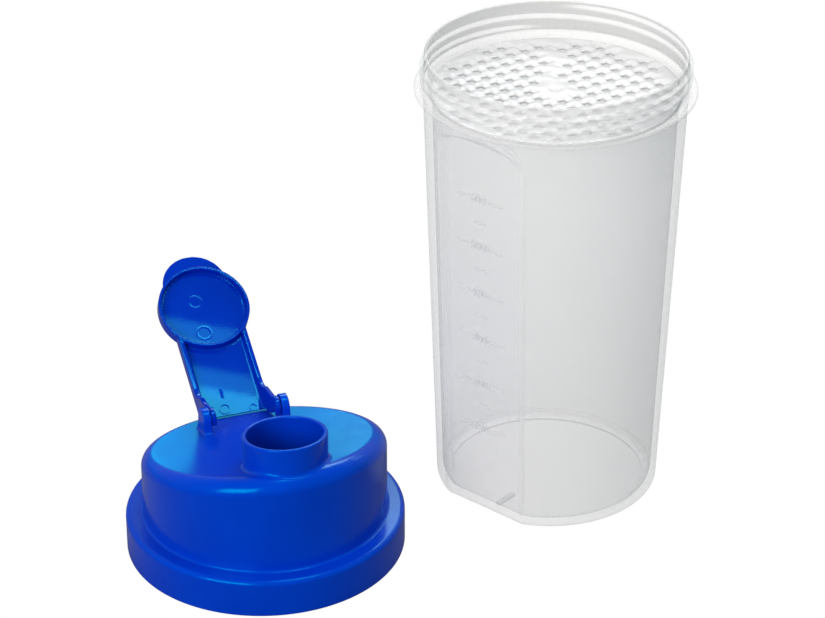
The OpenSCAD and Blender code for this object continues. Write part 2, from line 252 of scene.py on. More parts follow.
def cup_shell():
    """The cup as one closed surface, from the middle of its underside round to the middle of its floor."""
    turn = cup_columns()
    outer = lambda z: wall_outline(turn, z, BASE_R, TOP_R, 0, 0.4)
    inner = lambda z: wall_outline(turn, z, CAVITY_BASE_R, CAVITY_TOP_R, PANEL_WALL, 1.2)
    rows, clear, thread_painted_shade = [], [], []

    # The milkier-alpha share is the neck's and collar's own finish. On the bead, the floor's rounding and the
    # base rim it paints highlight lines.
    def add(r, z, milk_and_painted_highlight=0.0, shade_band_share=0.0):
        r = r + 0 * turn
        rows.append(np.stack([r * np.cos(turn), r * np.sin(turn), z + 0 * turn], 1))
        clear.append(milk_and_painted_highlight + 0 * turn)
        thread_painted_shade.append(shade_band_share + 0 * turn)

    foot = outer(BASE_ROUND)
    for share in (0.15, 0.4, 0.7, 0.97):
        add(share * (foot - FOOT_INSET), FOOT_DEPTH)
    # Painted highlight line round the foot and the base's rounding, as a milkier alpha.
    for inset, z in ((5.15, 1.0), (5.0, 0.85), (4.95, 0.2), (4.8, 0.03), (4.6, 0.0), (3.2, 0.0)):
        add(foot - inset, z, 0.3)
    for dr, z in quarter(-BASE_ROUND, BASE_ROUND, BASE_ROUND, -90, 0, 8):
        add(foot + dr, z, 0.5 * (1 - z / BASE_ROUND))
    wall_z = np.concatenate([np.arange(6, 136, 6.5), np.arange(136, COLLAR_Z - 1, 0.45)])
    # The bead stands proud along the panel's outline, and its milkier alpha paints a highlight line on it.
    for z in wall_z:
        bead = panel_bead(turn, z)
        add(outer(z) + BEAD_PROUD * bead, z, bead)
    collar_edge = 0.75
    for dr, z in quarter(0.8, COLLAR_Z - 0.8, 0.8, 180, 90):
        add(TOP_R + dr, z, COLLAR_CLEAR)
    add(COLLAR_R - collar_edge - 0.2, COLLAR_Z, COLLAR_CLEAR)
    for r, z in quarter(COLLAR_R - collar_edge, COLLAR_Z + collar_edge, collar_edge, -90, 0):
        add(r, z, COLLAR_CLEAR)
    for r, z in quarter(COLLAR_R - collar_edge, COLLAR_TOP - collar_edge, collar_edge, 0, 90):
        add(r, z, COLLAR_CLEAR)
    add(NECK_R + 0.7, COLLAR_TOP, COLLAR_CLEAR)
    for r, z in quarter(NECK_R + 0.5, COLLAR_TOP + 0.5, 0.5, -90, -180, 3):
        add(r, z, NECK_CLEAR)
    first = CUP_H - 2.4 - NECK_TURNS * PITCH
    # Between the thread ridges the neck gets painted shade, which shows as dark bands on its back faces.
    for z in np.arange(COLLAR_TOP + 0.65, CUP_H - 0.8, 0.2):
        ridge = thread_ridge(turn, z, first, 90 * DEG, NECK_TURNS, THREAD_DEPTH)
        in_thread = smooth_step(z, first - 2.6, first - 1.4)
        add(NECK_R + ridge, z, NECK_CLEAR, in_thread * (1 - smooth_step(ridge, 0.05, 0.6 * THREAD_DEPTH)))
    lip = 0.6
    for r, z in quarter(NECK_R - lip, CUP_H - lip, lip, 0, 90, 6):
        add(r, z, NECK_CLEAR)
    for r, z in quarter(NECK_BORE_R + lip, CUP_H - lip, lip, 90, 180, 6):
        add(r, z, NECK_CLEAR)
    for z in np.linspace(CUP_H - 1.2, SEAT_TOP + 0.3, 20):
        add(NECK_BORE_R, z, NECK_CLEAR)
    add(NECK_BORE_R, SEAT_TOP, NECK_CLEAR)
    add(SEAT_R, SEAT_TOP - 0.12, NECK_CLEAR)
    add(SEAT_R, SEAT_Z + 0.1, NECK_CLEAR)
    add(SEAT_R - 0.05, SEAT_Z, NECK_CLEAR)
    add(CAVITY_TOP_R + 0.2, SEAT_Z)
    # The inner wall's milkier alpha along the panel's outline paints a highlight line there too.
    for z in wall_z[::-1]:
        if FLOOR_T + 4 < z < SEAT_Z - 0.3:
            add(inner(z), z, panel_bead(turn, z))
    floor_round = 3.5
    base = inner(FLOOR_T + floor_round)
    # A hump of milkier alpha paints a highlight line round the floor's rounding.
    for k, (dr, z) in enumerate(quarter(-floor_round, FLOOR_T + floor_round, floor_round, 0, -90, 8)):
        add(base + dr, z, 0.8 * max(0, 1 - abs(k - 4) / 3))
    for share in (0.97, 0.7, 0.4, 0.15):
        add(share * (base - floor_round), FLOOR_T)
    mesh = loft("cup_shell", rows, [(0, 0, FOOT_DEPTH), (0, 0, FLOOR_T)])
    for name, values in (("clear", clear), ("thread_painted_shade", thread_painted_shade)):
        layer = mesh.attributes.new(name, "FLOAT", "POINT")
        layer.data.foreach_set("value", np.concatenate([np.concatenate(values), [0, 0]]))
    return mesh


def panel_place(across, z):
    """Where a point of the flat panel is, with +X across it, +Y up it and +Z out of it."""
    lean = math.atan(PANEL_SLOPE)
    d = PANEL_D + z * PANEL_SLOPE
    return (
        Matrix.Rotation(PANEL_TURN, 4, "Z")
        @ Matrix.Translation((d, across, z))
        @ Matrix.Rotation(lean, 4, "Y")
        @ Matrix(((0, 0, 1, 0), (1, 0, 0, 0), (0, 1, 0, 0), (0, 0, 0, 1)))
    )


def bar_into(bm, place, size, round_r):
    """Adds a bar with rounded edges, given by its size, to a bmesh."""
    made = bmesh.ops.create_cube(bm, size=1.0, matrix=place @ Matrix.Diagonal((*size, 1)))
    edges = list({e for v in made["verts"] for e in v.link_edges})
    bmesh.ops.bevel(bm, geom=edges, offset=round_r, segments=2, affect="EDGES", profile=0.5)


def cup_scale():
    """Raised marks and numbers of the volume scale."""
    bm = bmesh.new()
    for i in range(MARKS):
        z = FIRST_MARK_Z + i * MARK_STEP
        spans = [(-9.8, -5.4, z), (3.6, 9.6, z)]
        if i < MARKS - 1:
            spans.append((-2.4, 2.4, z + MARK_STEP / 2))
        for lo, hi, height in spans:
            bar_into(bm, panel_place((lo + hi) / 2, height), (hi - lo, 0.7, 0.56), 0.16)
    mesh = bpy.data.meshes.new("cup_scale")
    bm.to_mesh(mesh)
    bm.free()
    mesh.transform(Matrix.Scale(MM, 4))
    bm = bmesh.new()
    bm.from_mesh(mesh)
    for i in range(MARKS):
        curve = bpy.data.curves.new("number", "FONT")
        curve.body = str(100 * (i + 1))
        curve.align_x, curve.align_y = "CENTER", "CENTER"
        curve.size = 4.6
        curve.extrude = 0.26
        curve.bevel_depth = 0.03
        curve.resolution_u = 4
        temp = bpy.data.objects.new("number", curve)
        bpy.context.scene.collection.objects.link(temp)
        bpy.context.view_layer.update()
        ready = temp.evaluated_get(bpy.context.evaluated_depsgraph_get())
        number = bpy.data.meshes.new_from_object(ready)
        number.transform(Matrix.Scale(MM, 4) @ panel_place(-0.9, FIRST_MARK_Z + i * MARK_STEP))
        bm.from_mesh(number)
        bpy.data.objects.remove(temp)
        bpy.data.meshes.remove(number)
        bpy.data.curves.remove(curve)
    bmesh.ops.remove_doubles(bm, verts=bm.verts, dist=1e-7)
    bm.to_mesh(mesh)
    bm.free()
    return mesh


def cup_floor_bar():
    """The short raised bar on the floor, square to the flat panel."""
    bm = bmesh.new()
    place = Matrix.Rotation(PANEL_TURN, 4, "Z") @ Matrix.Translation((27.8, 3.1, FLOOR_T + 0.1))
    bar_into(bm, place, (9.0, 2.0, 1.0), 0.25)
    mesh = bpy.data.meshes.new("cup_floor_bar")
    bm.to_mesh(mesh)
    bm.free()
    mesh.transform(Matrix.Scale(MM, 4))
    return mesh


# ---------------------------------------------------------------- strainer
def strainer_cells():
    """Middles of the strainer's square holes on their own lattice, as the CAD node has them."""
    cells = []
    for i in range(-7, 8):
        for j in range(-7, 8):
            x, y = (i + 0.5) * MESH_PITCH, (j + 0.5) * MESH_PITCH
            px = x * math.cos(MESH_TURN) - y * math.sin(MESH_TURN)
            py = x * math.sin(MESH_TURN) + y * math.cos(MESH_TURN)
            on_runner = abs(px) < (RUNNER_W + MESH_HOLE) / 2 and py > 0
            on_diamond = max(abs(x), abs(y)) < DIAMOND_HALF - MESH_HOLE / 2
            if math.hypot(x, y) < MESH_R and not on_runner and not on_diamond:
                cells.append((x, y))
    return cells


def strainer_top(x, y, open_cells):
    """Height of the crowned bars over the underside, flat on the flange, the runner and the diamond."""
    t = STRAINER_HI.z - STRAINER_LO.z
    px = x * np.cos(MESH_TURN) - y * np.sin(MESH_TURN)
    py = x * np.sin(MESH_TURN) + y * np.cos(MESH_TURN)
    near = np.full(x.shape, 1e9)
    for cx, cy in open_cells:
        near = np.minimum(near, np.maximum(np.abs(x - cx), np.abs(y - cy)))
    inside = 1 - smooth_step(near, MESH_PITCH * 0.5, MESH_PITCH * 0.5 + 0.9)
    node_x, node_y = (0.5 + 0.5 * np.cos(2 * math.pi * v / MESH_PITCH) for v in (x, y))
    edge = 1 - smooth_step(near, MESH_HOLE / 2, MESH_HOLE / 2 + 0.75)
    crown = 0.5 * (1 - node_x * node_y) + 0.24 * edge
    gate = 0.25 * (1 - smooth_step(np.hypot(px, py), GATE_R - 0.3, GATE_R))
    return t - crown * inside - gate


def strainer_disc():
    """The strainer: a flat flange round a lattice of crowned bars with square holes."""
    cells = strainer_cells()
    half = MESH_HOLE / 2
    points, edges = [], []
    seen = {}

    def point(x, y):
        key = (round(x, 4), round(y, 4))
        if key not in seen:
            seen[key] = len(points)
            points.append(Vector((x, y)))
        return seen[key]

    steps = [-MESH_PITCH / 2, -2.4, -1.8, -half, -half / 3, half / 3, half, 1.8, 2.4, MESH_PITCH / 2]
    for cx, cy in cells:
        for a in steps:
            for b in steps:
                if max(abs(a), abs(b)) >= half - 1e-6:
                    point(cx + a, cy + b)
        ring = [(-half, -half), (-half / 3, -half), (half / 3, -half)]
        ring += [(half, -half), (half, -half / 3), (half, half / 3)]
        ring += [(-a, -b) for a, b in ring]
        loop = [point(cx + a, cy + b) for a, b in ring]
        edges += list(zip(loop, loop[1:] + loop[:1]))
    circles = (
        (STRAINER_R, 240), (STRAINER_R - 0.25, 240), (STRAINER_R - 1.2, 180),
        (MESH_R + 1.8, 160), (GATE_R, 32), (GATE_R - 0.3, 32),
    )
    for r, count in circles:
        turns = [2 * math.pi * k / count for k in range(count)]
        ids = [point(r * math.cos(a), r * math.sin(a)) for a in turns]
        if r == STRAINER_R:
            edges += list(zip(ids, ids[1:] + ids[:1]))
    for a in np.arange(-MESH_R - 1, MESH_R + 1, 1.45):
        for b in np.arange(-MESH_R - 1, MESH_R + 1, 1.45):
            clear_of_cells = all(max(abs(a - cx), abs(b - cy)) > MESH_PITCH / 2 + 0.2 for cx, cy in cells)
            if math.hypot(a, b) < MESH_R + 1 and clear_of_cells:
                point(a, b)
    flat, _, faces, *_ = delaunay_2d_cdt(points, edges, [], 0, 1e-6)
    xy = np.array([(p.x, p.y) for p in flat])
    kept = []
    cell_xy = np.array(cells)
    for f in faces:
        mid = xy[list(f)].mean(0)
        if math.hypot(*mid) > STRAINER_R:
            continue
        if (np.abs(cell_xy - mid).max(1) < half - 1e-4).any():
            continue
        kept.append(list(f))
    top = strainer_top(xy[:, 0], xy[:, 1], cells)
    rim_r = np.hypot(xy[:, 0], xy[:, 1])
    top = top - 0.2 * smooth_step(rim_r, STRAINER_R - 0.26, STRAINER_R)
    low = 0.12 * smooth_step(rim_r, STRAINER_R - 0.26, STRAINER_R)
    n = len(xy)
    c, s = math.cos(MESH_TURN), math.sin(MESH_TURN)
    world = xy @ np.array([[c, s], [-s, c]])
    verts = np.vstack([np.column_stack([world, SEAT_Z + top]), np.column_stack([world, SEAT_Z + low])])
    count = {}
    for f in kept:
        for a, b in zip(f, f[1:] + f[:1]):
            count[(a, b)] = count.get((a, b), 0) + 1
    out = list(kept) + [[v + n for v in reversed(f)] for f in kept]
    out += [[b, a, a + n, b + n] for a, b in count if (b, a) not in count]
    return mesh_of("strainer_disc", verts, out)


# ---------------------------------------------------------------- lid
def roof(x, y, drop, drum_r, round_r):
    """Height of the slanted top over a point, with the round edge where it meets the drum's wall."""
    r = np.hypot(x, y)
    m = TOP_SLOPE * x / np.maximum(r, 1e-6)
    z0 = TOP_Z - drop * math.hypot(1, TOP_SLOPE)
    plane = z0 + m * r
    centre_z = z0 + m * (drum_r - round_r) - round_r * np.sqrt(1 + m * m)
    touch = drum_r - round_r - round_r * m / np.sqrt(1 + m * m)
    arc = centre_z + np.sqrt(np.maximum(round_r**2 - (r - drum_r + round_r) ** 2, 0))
    return np.where(r > touch, arc, plane)


def lid_shell():
    """The lid as one closed surface: skirt, drum, slanted top, spout, hollow inside, plug ring, thread."""
    count = 288
    turn = np.linspace(0, 2 * math.pi, count, endpoint=False)
    c, s = np.cos(turn), np.sin(turn)
    rows = []

    def add(r, z, x=0.0):
        rows.append(np.stack([x + r * c, r * s, z + 0 * turn], 1))

    def across(drum_r, spout_r, drop, round_r, shares):
        """Rows on the roof from the drum's edge to the spout's circle."""
        for t in shares:
            x = (1 - t) * drum_r * c + t * (SPOUT_X + spout_r * c)
            y = (1 - t) * drum_r * s + t * spout_r * s
            rows.append(np.stack([x, y, roof(x, y, drop, drum_r, round_r)], 1))

    foot = 0.7
    for r, z in quarter(SKIRT_R - foot, foot, foot, -90, 0):
        add(r, z)
    for z in (2.0, 5.0, 8.0, 11.0):
        add(SKIRT_R, z)
    shoulder = 1.8
    for r, z in quarter(SKIRT_R - shoulder, SKIRT_H - shoulder, shoulder, 0, 90, 8):
        add(r, z)
    fillet = 1.0
    add(DRUM_R + fillet + 1.5, SKIRT_H)
    for r, z in quarter(DRUM_R + fillet, SKIRT_H + fillet, fillet, -90, -180, 5):
        add(r, z)
    top_of_wall = roof(DRUM_R * c, DRUM_R * s, 0, DRUM_R, TOP_ROUND)
    for t in np.linspace(0.06, 0.97, 14):
        add(DRUM_R, SKIRT_H + fillet + t * (top_of_wall - SKIRT_H - fillet))
    shares = 1 - np.cos(np.linspace(0, math.pi / 2, 56))
    blend = 1.3
    across(DRUM_R, SPOUT_R + blend, 0, TOP_ROUND, shares)
    base = rows[-1][:, 2]
    for a in np.radians([15, 30, 45, 60, 75, 90]):
        add(SPOUT_R + blend * (1 - math.sin(a)), base + blend * (1 - math.cos(a)), SPOUT_X)
    lip = 0.55
    rim = lambda r: SPOUT_Z + math.tan(RIM_SLOPE) * r * c
    for t in np.linspace(0.1, 0.96, 8):
        low = base + blend
        add(SPOUT_R, low + t * (rim(SPOUT_R) - lip - low), SPOUT_X)
    for dr, dz in quarter(-lip, -lip, lip, 0, 90, 5):
        add(SPOUT_R + dr, rim(SPOUT_R + dr) + dz, SPOUT_X)
    for dr, dz in quarter(lip, -lip, lip, 90, 180, 5):
        add(SPOUT_BORE_R + dr, rim(SPOUT_BORE_R + dr) + dz, SPOUT_X)
    under = roof(SPOUT_X + SPOUT_BORE_R * c, SPOUT_BORE_R * s, LID_WALL, DRUM_IN_R, TOP_ROUND - LID_WALL)
    for t in np.linspace(0.08, 0.95, 10):
        high = rim(SPOUT_BORE_R) - lip
        add(SPOUT_BORE_R, high + t * (under - high), SPOUT_X)
    across(DRUM_IN_R, SPOUT_BORE_R, LID_WALL, TOP_ROUND - LID_WALL, shares[::-1])
    wall_top = rows[-1][:, 2]
    shoulder_z = SKIRT_H - LID_WALL
    for t in np.linspace(0.05, 0.97, 8):
        add(DRUM_IN_R, wall_top + t * (shoulder_z - 0.5 - wall_top))
    add(DRUM_IN_R, shoulder_z - 0.5)
    add(PLUG_IN_R - 0.3, shoulder_z - 0.5)
    for z in (shoulder_z - 1.0, PLUG_Z + 0.8):
        add(PLUG_IN_R, z)
    ring = (PLUG_R - PLUG_IN_R) / 2 - 0.1
    plug_foot = quarter(PLUG_IN_R + ring, PLUG_Z + ring, ring, 180, 270, 3)
    plug_foot += quarter(PLUG_R - ring, PLUG_Z + ring, ring, 270, 360, 3)
    for r, z in plug_foot:
        add(r, z)
    add(PLUG_R, shoulder_z - 1.0)
    for r, z in quarter(PLUG_R + 0.5, shoulder_z - 0.5, 0.5, 180, 90, 3):
        add(r, z)
    for r, z in quarter(SKIRT_BORE_R - 0.6, shoulder_z - 0.6, 0.6, 90, 0, 3):
        add(r, z)
    for z in np.arange(shoulder_z - 0.9, 1.0, -0.22):
        add(SKIRT_BORE_R - thread_ridge(turn, z, 3.4, 0, LID_TURNS, 1.2), z)
    for r, z in quarter(SKIRT_BORE_R + 0.5, 0.5, 0.5, 180, 270, 3):
        add(r, z)
    return loft("lid_shell", rows)


def lathe_into(bm, profile, place, steps=96):
    """Adds a ring or disc turned about +Z from a closed profile of (r, z). Axis points become poles."""
    turns = [2 * math.pi * k / steps for k in range(steps)]
    made = []
    for r, z in profile:
        if r < 1e-6:
            made.append([bm.verts.new(place @ Vector((0, 0, z)))] * steps)
        else:
            made.append([bm.verts.new(place @ Vector((r * math.cos(a), r * math.sin(a), z))) for a in turns])
    for a, b in zip(made, made[1:] + made[:1]):
        for k in range(steps):
            corner = []
            for v in (a[k], a[(k + 1) % steps], b[(k + 1) % steps], b[k]):
                if v not in corner:
                    corner.append(v)
            if len(corner) > 2:
                bm.faces.new(corner)


def prism_into(bm, outline, place, lo, hi):
    """Adds a flat outline in X and Y, filled from z lo to hi."""
    rings = [[bm.verts.new(place @ Vector((x, y, z))) for x, y in outline] for z in (lo, hi)]
    bm.faces.new(list(reversed(rings[0])))
    bm.faces.new(rings[1])
    n = len(outline)
    for k in range(n):
        bm.faces.new([rings[0][k], rings[0][(k + 1) % n], rings[1][(k + 1) % n], rings[1][k]])


def moulded(name, bm, voxel, smoothing):
    """Runs overlapping closed solids, in millimetres, together into one moulding with soft edges."""
    bmesh.ops.recalc_face_normals(bm, faces=bm.faces)
    rough = bpy.data.meshes.new(name)
    bm.to_mesh(rough)
    bm.free()
    temp = bpy.data.objects.new(name, rough)
    bpy.context.scene.collection.objects.link(temp)
    remesh = temp.modifiers.new("skin", "REMESH")
    remesh.mode = "VOXEL"
    remesh.voxel_size = voxel
    remesh.adaptivity = 0
    soften = temp.modifiers.new("soften", "SMOOTH")
    soften.factor = 0.5
    soften.iterations = smoothing
    bpy.context.view_layer.update()
    mesh = bpy.data.meshes.new_from_object(temp.evaluated_get(bpy.context.evaluated_depsgraph_get()))
    mesh.name = name
    bpy.data.objects.remove(temp)
    bpy.data.meshes.remove(rough)
    return mesh


# Stands an outline up: its Y becomes Z, and its depth becomes Y
UPRIGHT = Matrix(((1, 0, 0, 0), (0, 0, 1, 0), (0, 1, 0, 0), (0, 0, 0, 1)))


def lid_ear(side):
    """One hinge ear with its round head, its blind bearing and a foot that spreads into the top."""
    foot_z = TOP_Z + HINGE_X * TOP_SLOPE
    spread = EAR_FOOT - EAR_R
    outline = quarter(HINGE_X, HINGE_Z, EAR_R, 0, 180, 24)
    down = (0.4, 0.6, 0.8, 0.92)
    outline += [(HINGE_X - EAR_R - spread * t**2, HINGE_Z + (foot_z - HINGE_Z) * t) for t in down]
    outline += [(HINGE_X - EAR_FOOT - 0.5, foot_z - 6 * TOP_SLOPE), (HINGE_X - EAR_FOOT - 0.5, foot_z - 2.6)]
    outline += [(HINGE_X + EAR_FOOT + 0.5, foot_z - 0.4), (HINGE_X + EAR_FOOT + 0.5, foot_z + 6 * TOP_SLOPE)]
    outline += [(HINGE_X + EAR_R + spread * t**2, HINGE_Z + (foot_z - HINGE_Z) * t) for t in down[::-1]]
    bm = bmesh.new()
    lo, hi = (EAR_IN, EAR_OUT) if side > 0 else (-EAR_OUT, -EAR_IN)
    prism_into(bm, outline, UPRIGHT, lo, hi)
    flare = [(HINGE_X - EAR_FOOT - 0.3, foot_z - 6 * TOP_SLOPE + 0.5), (HINGE_X - EAR_FOOT, foot_z - 2.2)]
    flare += [(HINGE_X + EAR_FOOT, foot_z - 0.3), (HINGE_X + EAR_FOOT + 0.3, foot_z + 6 * TOP_SLOPE + 0.5)]
    flare_in, flare_out = 0.1, 0.5
    if side > 0:
        prism_into(bm, flare, UPRIGHT, lo - flare_in, hi + flare_out)
    else:
        prism_into(bm, flare, UPRIGHT, lo - flare_out, hi + flare_in)
    mesh = moulded("lid_ear", bm, 0.22, 4)
    depth, inner = 2.0, side * EAR_IN
    co = np.zeros(len(mesh.vertices) * 3)
    mesh.vertices.foreach_get("co", co)
    co = co.reshape(-1, 3)
    off = np.hypot(co[:, 0] - HINGE_X, co[:, 2] - HINGE_Z)
    face = (np.abs(co[:, 1] - inner) < 0.2) & (off < JOURNAL_R + 0.05)
    co[face, 1] += side * depth
    mesh.vertices.foreach_set("co", co.ravel())
    mesh.transform(Matrix.Scale(MM, 4))
    mesh.update()
    return mesh


# ---------------------------------------------------------------- flip cap
def arm_side_outline():
    """One side of the arm in the cap's X and Z: a low rail that deepens into a leg round the hinge."""
    mid_r = (CAP_R + CAP_BORE_R) / 2
    front = -math.sqrt(mid_r**2 - ARM_HALF_W**2)
    bend = HINGE_L + LEG_BEND
    outline = [(front, PLATE_T), (front, -RAIL_H), (bend + 9, -RAIL_H)]
    outline += quarter(bend + 9, -RAIL_H - 6, 6, 90, 160, 8)
    outline += quarter(HINGE_L, HINGE_N, BOSS_R, 0, -180, 20)
    outline += quarter(bend + 5, PLATE_T - LEG_BACK_R, LEG_BACK_R, 170, 90, 16)
    return outline


def flip_cap_body():
    """The flip cap: disc with its wall and thumb tab, channel-shaped arm, legs and hinge journals."""
    still = Matrix.Identity(4)
    bm = bmesh.new()
    lathe_into(bm, [(0, 0), (CAP_R, 0), (CAP_R, PLATE_T), (0, PLATE_T)], still, 128)
    wall = [(CAP_BORE_R, -CAP_DEPTH), (CAP_R, -CAP_DEPTH), (CAP_R, 0.5), (CAP_BORE_R, 0.5)]
    lathe_into(bm, wall, still, 128)
    tab = Matrix.Translation((TAB_X, 0, 0))
    lathe_into(bm, [(0, 0), (TAB_R, 0), (TAB_R, PLATE_T), (0, PLATE_T)], tab, 128)
    end = HINGE_L + ARM_END
    plate = [(0, 0), (0, PLATE_T), (end + END_SLANT, PLATE_T), (end, 0)]
    prism_into(bm, plate, UPRIGHT, -ARM_HALF_W, ARM_HALF_W)
    for side in (-1, 1):
        lo, hi = (ARM_HALF_W - RAIL_W, ARM_HALF_W) if side > 0 else (-ARM_HALF_W, -ARM_HALF_W + RAIL_W)
        prism_into(bm, arm_side_outline(), UPRIGHT, lo, hi)
        middle = side * (ARM_HALF_W + JOURNAL_LEN / 2 - 0.3)
        pin = Matrix.Translation((HINGE_L, middle, HINGE_N)) @ Matrix.Rotation(math.pi / 2, 4, "X")
        half = JOURNAL_LEN / 2 + 0.3
        lathe_into(bm, [(0, -half), (JOURNAL_R, -half), (JOURNAL_R, half), (0, half)], pin, 48)
    mesh = moulded("flip_cap_body", bm, 0.26, 4)
    co = np.zeros(len(mesh.vertices) * 3)
    mesh.vertices.foreach_get("co", co)
    co = co.reshape(-1, 3)
    under = np.abs(co[:, 2]) < 0.12
    floor = under & (np.hypot(co[:, 0], co[:, 1]) < CAP_BORE_R - 0.4)
    co[floor, 2] -= DISH_TILT * co[floor, 0]
    for x, y, r in PIN_MARKS:
        off = np.hypot(co[:, 0] - x, co[:, 1] - y)
        ring = 1 - np.clip(np.abs(off - r) / GROOVE_HALF_W, 0, 1)
        co[under, 2] += PIN_MARK_DEPTH * ring[under]
    nick_x, nick_y, nick_half = NICK
    nick = 1 - np.clip(np.abs(co[:, 1] - nick_y) / GROOVE_HALF_W, 0, 1)
    nick *= np.abs(co[:, 0] - nick_x) < nick_half
    co[under, 2] += NICK_DEPTH * nick[under]
    mesh.vertices.foreach_set("co", co.ravel())
    mesh.transform(Matrix.Scale(MM, 4))
    mesh.update()
    return mesh


# ---------------------------------------------------------------- materials
class Nodes:
    """A short way to write a node tree."""

    def __init__(self, tree):
        self.tree = tree

    def add(self, kind, values=None, **props):
        node = self.tree.nodes.new(kind)
        for key, value in props.items():
            setattr(node, key, value)
        for key, value in (values or {}).items():
            if isinstance(value, bpy.types.NodeSocket):
                self.tree.links.new(value, node.inputs[key])
            else:
                node.inputs[key].default_value = value
        return node

    def noise(self, coords, scale, detail=2.0, stretch=None):
        if stretch:
            coords = self.add("ShaderNodeMapping", {"Vector": coords, "Scale": stretch}).outputs[0]
        values = {"Vector": coords, "Scale": scale, "Detail": detail}
        return self.add("ShaderNodeTexNoise", values).outputs["Fac"]

    def spread(self, value, lo, hi, start=0.3, end=0.7):
        values = {"Value": value, "From Min": start, "From Max": end, "To Min": lo, "To Max": hi}
        return self.add("ShaderNodeMapRange", values).outputs[0]


def new_material(name):
    mat = bpy.data.materials.new(name)
    mat.use_nodes = True
    mat.node_tree.nodes.clear()
    nodes = Nodes(mat.node_tree)
    shader = nodes.add("ShaderNodeBsdfPrincipled")
    out = nodes.add("ShaderNodeOutputMaterial")
    mat.node_tree.links.new(shader.outputs[0], out.inputs["Surface"])
    coords = nodes.add("ShaderNodeTexCoord").outputs["Object"]
    return mat, nodes, shader, coords


def tinted(nodes, coords, dark, light, scale):
    """A colour that drifts slowly between two shades, as pigment does in a moulding."""
    drift = nodes.spread(nodes.noise(coords, scale, 3.0), 0, 1)
    mix = nodes.add("ShaderNodeMix", {"Factor": drift}, data_type="RGBA")
    mix.inputs["A"].default_value = (*dark, 1)
    mix.inputs["B"].default_value = (*light, 1)
    return mix.outputs["Result"]


def plastic(name, dark, light, rough, rough_drift, grain, **fixed):
    """Moulded polypropylene: drifting colour, patches of duller gloss, fine scuffs and a faint grain."""
    mat, nodes, shader, coords = new_material(name)
    link = mat.node_tree.links.new
    link(tinted(nodes, coords, dark, light, 45.0), shader.inputs["Base Color"])
    patches = nodes.noise(coords, 120.0, 4.0)
    scuffs = nodes.noise(coords, 700.0, 2.0, (1.0, 1.0, 0.4))
    both = nodes.add("ShaderNodeMath", {0: patches, 1: scuffs}, operation="ADD").outputs[0]
    link(nodes.spread(both, rough - rough_drift, rough + rough_drift, 0.75, 1.25), shader.inputs["Roughness"])
    fine = nodes.noise(coords, 2600.0, 2.0)
    bump = nodes.add("ShaderNodeBump", {"Height": fine, "Strength": grain, "Distance": 0.00006})
    link(bump.outputs[0], shader.inputs["Normal"])
    for key, value in fixed.items():
        shader.inputs[key.replace("_", " ")].default_value = value
    return mat


# Painted shade: the frosted plastic is greyed towards the bottom of the cup and fades out by LOW_GREY_TOP, in
# m.
LOW_GREY, LOW_GREY_SHARE, LOW_GREY_TOP = (0.56, 0.56, 0.56, 1), 0.45, 0.13  # fades out at this height, in m
# Painted shade: grey and a thicker alpha paint dark bands between the thread ridges on the neck's back faces.
THREAD_SHADE_GREY, THREAD_SHADE_ALPHA = (0.30, 0.30, 0.30, 1), 0.6
BODY_EDGE_ALPHA, NECK_EDGE_ALPHA = 0.36, 0.4


def frosted(name, body_alpha, clear_alpha):
    """Translucent polypropylene, thin on the body and milkier on the neck. It has painted highlight lines as
    a milkier alpha on the beads, the floor's rounding and the base rim, painted shade towards the bottom, and
    painted dark bands of shade behind the thread on back faces.
    """
    mat = plastic(name, (0.95, 0.935, 0.92), (0.98, 0.965, 0.95), 0.26, 0.04, 0.10, IOR=1.45)
    nodes = Nodes(mat.node_tree)
    shader = next(n for n in mat.node_tree.nodes if n.type == "BSDF_PRINCIPLED")
    colour = shader.inputs["Base Color"].links[0].from_socket
    clear = nodes.add("ShaderNodeAttribute", attribute_name="clear").outputs["Fac"]
    thread_painted_shade = nodes.add("ShaderNodeAttribute", attribute_name="thread_painted_shade").outputs["Fac"]
    # Painted shade between the thread ridges, on back faces only.
    behind = nodes.add("ShaderNodeNewGeometry").outputs["Backfacing"]
    dark = nodes.add("ShaderNodeMath", {0: thread_painted_shade, 1: behind}, operation="MULTIPLY").outputs[0]
    # Painted shade: grey is mixed into the colour, strongest at the bottom of the cup.
    coords = nodes.add("ShaderNodeTexCoord").outputs["Object"]
    height = nodes.add("ShaderNodeSeparateXYZ", {0: coords}).outputs["Z"]
    low = nodes.spread(height, LOW_GREY_SHARE, 0.0, 0.0, LOW_GREY_TOP)
    low_painted_shade = nodes.add("ShaderNodeMix", {"Factor": low}, data_type="RGBA")
    mat.node_tree.links.new(colour, low_painted_shade.inputs["A"])
    low_painted_shade.inputs["B"].default_value = LOW_GREY
    shaded = nodes.add("ShaderNodeMix", {"Factor": dark}, data_type="RGBA")
    mat.node_tree.links.new(low_painted_shade.outputs["Result"], shaded.inputs["A"])
    shaded.inputs["B"].default_value = THREAD_SHADE_GREY
    mat.node_tree.links.new(shaded.outputs["Result"], shader.inputs["Base Color"])
    facing = nodes.add("ShaderNodeLayerWeight", {"Blend": 0.25}).outputs["Facing"]
    body = nodes.spread(facing, body_alpha, BODY_EDGE_ALPHA, 0.5, 1.0)
    polished = nodes.spread(facing, clear_alpha, NECK_EDGE_ALPHA, 0.5, 1.0)
    # The alpha is milkier where clear is high. On the neck and collar this is the plastic's own finish; on
    # the beads, the floor's rounding and the base rim it paints highlight lines.
    parts = {"Factor": clear, "A": body, "B": polished}
    alpha = nodes.add("ShaderNodeMix", parts, data_type="FLOAT").outputs["Result"]
    parts = {"Factor": dark, "A": alpha, "B": THREAD_SHADE_ALPHA}
    final = nodes.add("ShaderNodeMix", parts, data_type="FLOAT").outputs["Result"]
    mat.node_tree.links.new(final, shader.inputs["Alpha"])
    return mat


